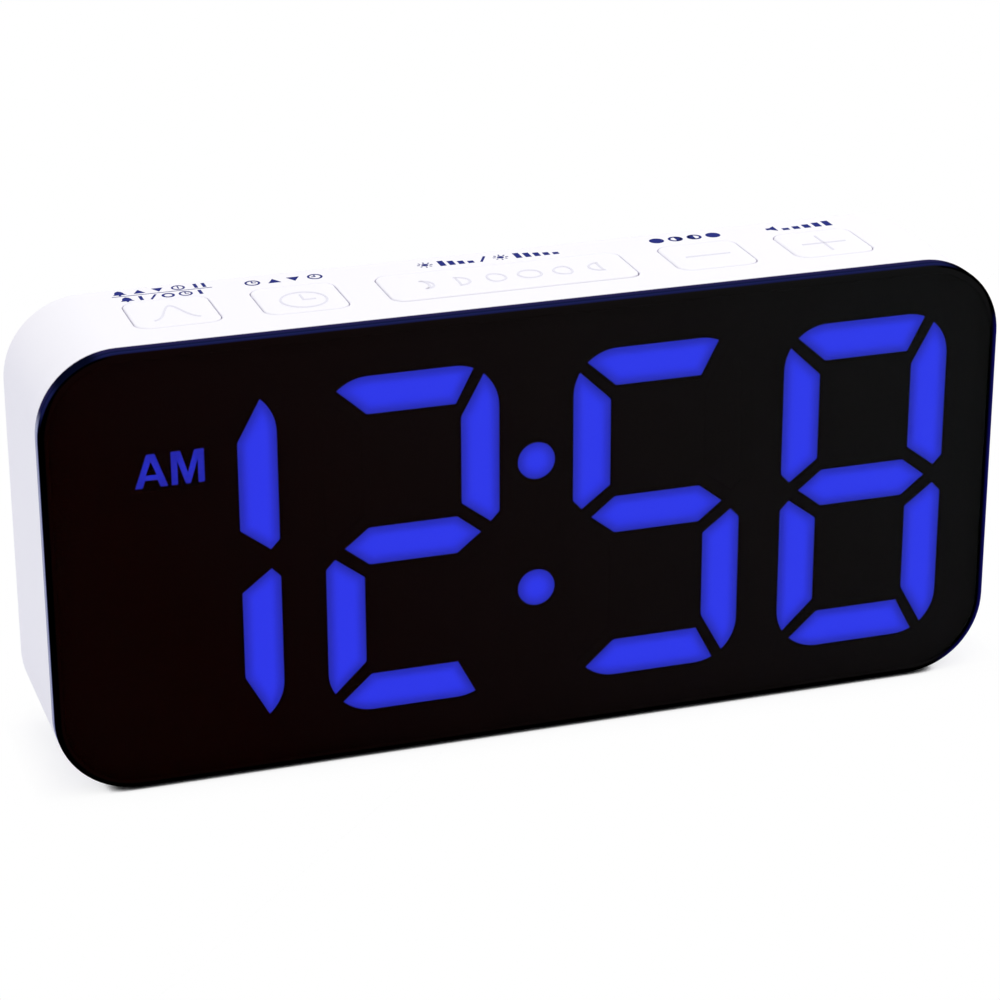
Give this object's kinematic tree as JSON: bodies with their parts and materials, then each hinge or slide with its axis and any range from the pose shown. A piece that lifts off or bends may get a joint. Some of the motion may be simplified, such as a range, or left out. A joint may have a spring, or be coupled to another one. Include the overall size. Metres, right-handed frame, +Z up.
{
  "type": "digital alarm clock",
  "caption": "Wide tabletop alarm clock with a smoked front lens, seven-segment figures, push keys along the top and a covered back with battery door.",
  "frame": {"origin": "on the table, below the middle of the clock", "axes": "+X across the clock to its right as seen from the front, +Y from its front to its back, +Z up"},
  "size_m": [0.215, 0.041, 0.0993],
  "materials": {
    "casing": "fine satin moulded white plastic",
    "key": "satin moulded white plastic",
    "lens": "smoked glossy acrylic",
    "mask": "black",
    "segment": "translucent diffuser, lit blue",
    "reflector": "white",
    "board": "green solder mask",
    "component": "black moulded",
    "plunger": "grey moulded",
    "steel": "zinc plated",
    "magnet": "sintered ferrite",
    "cone": "coated film",
    "lead": "insulated wire",
    "cell": "plain printed sleeve",
    "foot": "soft grey rubber"
  },
  "bodies": {
    "clock": {"shell": "casing", "rear_cover": "casing", "front_lens": "lens", "display_mask": "mask", "hours_tens_diffuser": "segment", "hours_units_diffuser": "segment", "minutes_tens_diffuser": "segment", "minutes_units_diffuser": "segment", "colon_diffuser": "segment", "half_day_diffuser": "segment", "reflector_frame": "reflector", "display_board": "board", "key_board": "board", "main_board": "board", "alarm_switch": "component", "time_switch": "component", "snooze_switch_1": "component", "snooze_switch_2": "component", "minus_switch": "component", "plus_switch": "component", "controller_chip": "component", "board_header": "component", "key_header": "component", "power_inlet": "component", "inlet_pin": "steel", "key_board_screw_1": "steel", "key_board_screw_2": "steel", "board_screw_1": "steel", "board_screw_2": "steel", "cover_screw_1": "steel", "cover_screw_2": "steel", "cover_screw_3": "steel", "cover_screw_4": "steel", "cell_bridge": "steel", "cell_terminal_1": "steel", "cell_terminal_2": "steel", "cell_1": "cell", "cell_2": "cell", "speaker_basket": "steel", "speaker_magnet": "magnet", "speaker_cone": "cone", "speaker_lead": "lead", "foot_1": "foot", "foot_2": "foot", "foot_3": "foot", "foot_4": "foot"},
    "alarm_button": {"alarm_key": "key", "alarm_plunger": "plunger"},
    "time_button": {"time_key": "key", "time_plunger": "plunger"},
    "snooze_button": {"snooze_key": "key", "snooze_plunger_1": "plunger", "snooze_plunger_2": "plunger"},
    "minus_button": {"minus_key": "key", "minus_plunger": "plunger"},
    "plus_button": {"plus_key": "key", "plus_plunger": "plunger"},
    "door": {"battery_door": "casing"}
  },
  "joints": [
    {"name": "alarm_press", "type": "slide", "parent": "clock", "child": "alarm_button", "axis": [0, 0, -1], "range_m": [0, 0.0008], "stiffness_N_per_m": 500, "springref_m": -0.0006},
    {"name": "time_press", "type": "slide", "parent": "clock", "child": "time_button", "axis": [0, 0, -1], "range_m": [0, 0.0008], "stiffness_N_per_m": 500, "springref_m": -0.0006},
    {"name": "snooze_press", "type": "slide", "parent": "clock", "child": "snooze_button", "axis": [0, 0, -1], "range_m": [0, 0.0008], "stiffness_N_per_m": 800, "springref_m": -0.0006},
    {"name": "minus_press", "type": "slide", "parent": "clock", "child": "minus_button", "axis": [0, 0, -1], "range_m": [0, 0.0008], "stiffness_N_per_m": 500, "springref_m": -0.0006},
    {"name": "plus_press", "type": "slide", "parent": "clock", "child": "plus_button", "axis": [0, 0, -1], "range_m": [0, 0.0008], "stiffness_N_per_m": 500, "springref_m": -0.0006},
    {"name": "door_hinge", "type": "hinge", "parent": "clock", "child": "door", "pos_m": [-0.018, 0.01945, 0.04685], "axis": [1, 0, 0], "range_deg": [0, 85]}
  ]
}
